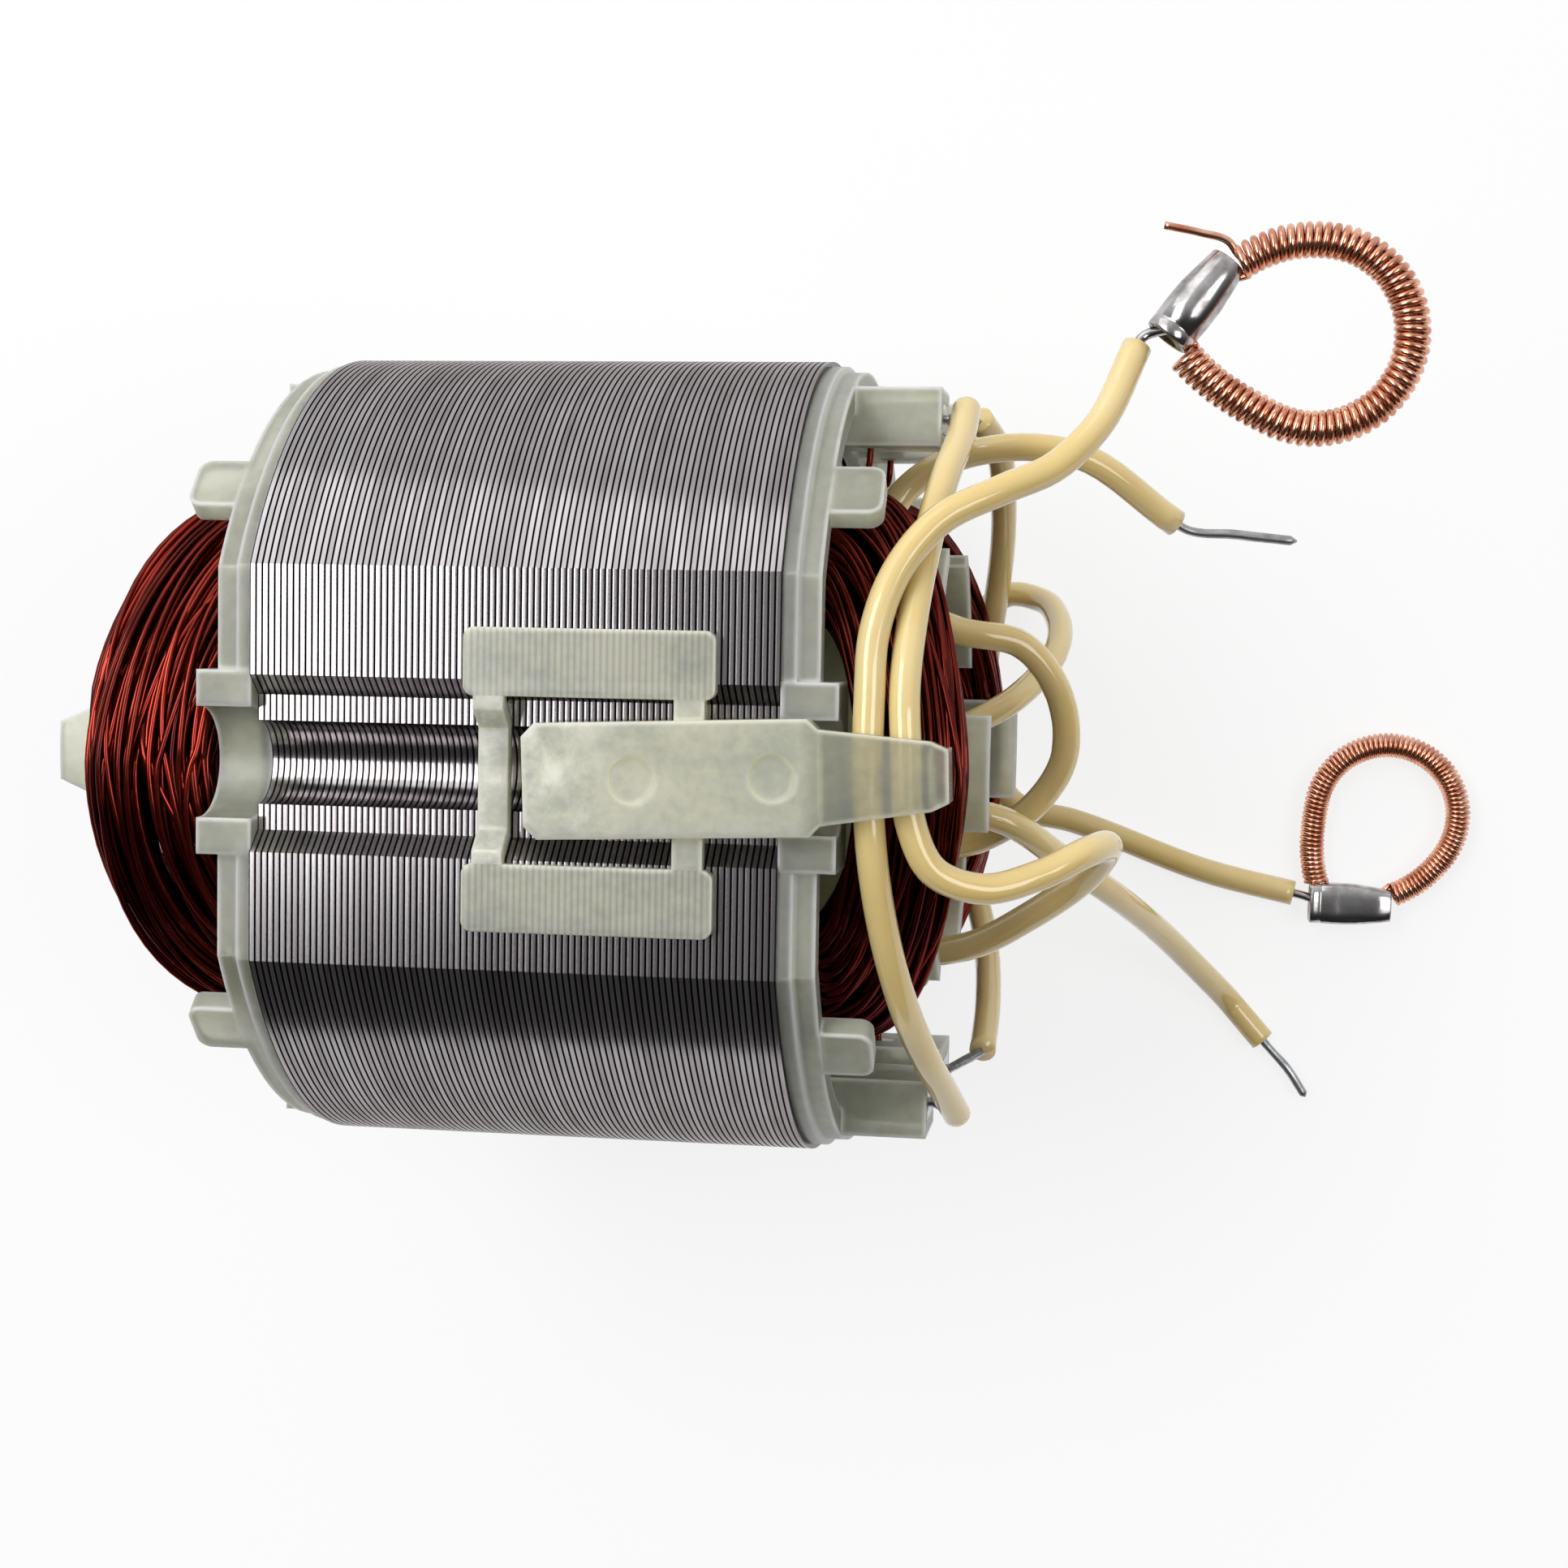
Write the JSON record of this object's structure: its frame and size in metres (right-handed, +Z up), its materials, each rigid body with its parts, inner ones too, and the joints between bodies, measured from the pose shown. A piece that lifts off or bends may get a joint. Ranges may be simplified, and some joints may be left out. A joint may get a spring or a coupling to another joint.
{
  "type": "wound stator",
  "caption": "Wound field stator of a universal motor: laminated stack with saddle coils, moulded end insulators, a lead clip, loose leads and coiled contact rings.",
  "frame": {"origin": "on the rotor axis at the middle of the lamination stack", "axes": "+X along the rotor axis towards the terminals, +Z up through the upper pole and its flat, +Y towards the rear side; the stator lies on its lower flat"},
  "size_m": [0.1199, 0.0776, 0.0646],
  "materials": {
    "lamination_steel": "sheared sheet edges",
    "nylon": "satin, milky and translucent",
    "enamelled_wire": "gloss enamel",
    "slot_film": "satin film",
    "tinned_metal": "tinned",
    "lead_pvc": "semi-gloss",
    "ferrule_metal": "bright tinned",
    "copper": "bright copper wire"
  },
  "bodies": {
    "root": {"lamination_stack": "lamination_steel", "plain_end_insulator": "nylon", "terminal_end_insulator": "nylon", "upper_coil": "enamelled_wire", "lower_coil": "enamelled_wire", "upper_coil_tails": "enamelled_wire", "lower_coil_tails": "enamelled_wire", "rear_upper_slot_film": "slot_film", "front_upper_slot_film": "slot_film", "rear_lower_slot_film": "slot_film", "front_lower_slot_film": "slot_film", "rear_upper_terminal": "tinned_metal", "front_upper_terminal": "tinned_metal", "rear_lower_terminal": "tinned_metal", "front_lower_terminal": "tinned_metal", "lead_clip": "nylon", "front_brush_lead": "lead_pvc", "rear_supply_lead": "lead_pvc", "rear_brush_lead": "lead_pvc", "front_supply_lead": "lead_pvc", "upper_ferrule": "ferrule_metal", "lower_ferrule": "ferrule_metal", "upper_contact_ring": "copper", "lower_contact_ring": "copper", "rear_stripped_end": "tinned_metal", "front_stripped_end": "tinned_metal"}
  },
  "joints": []
}
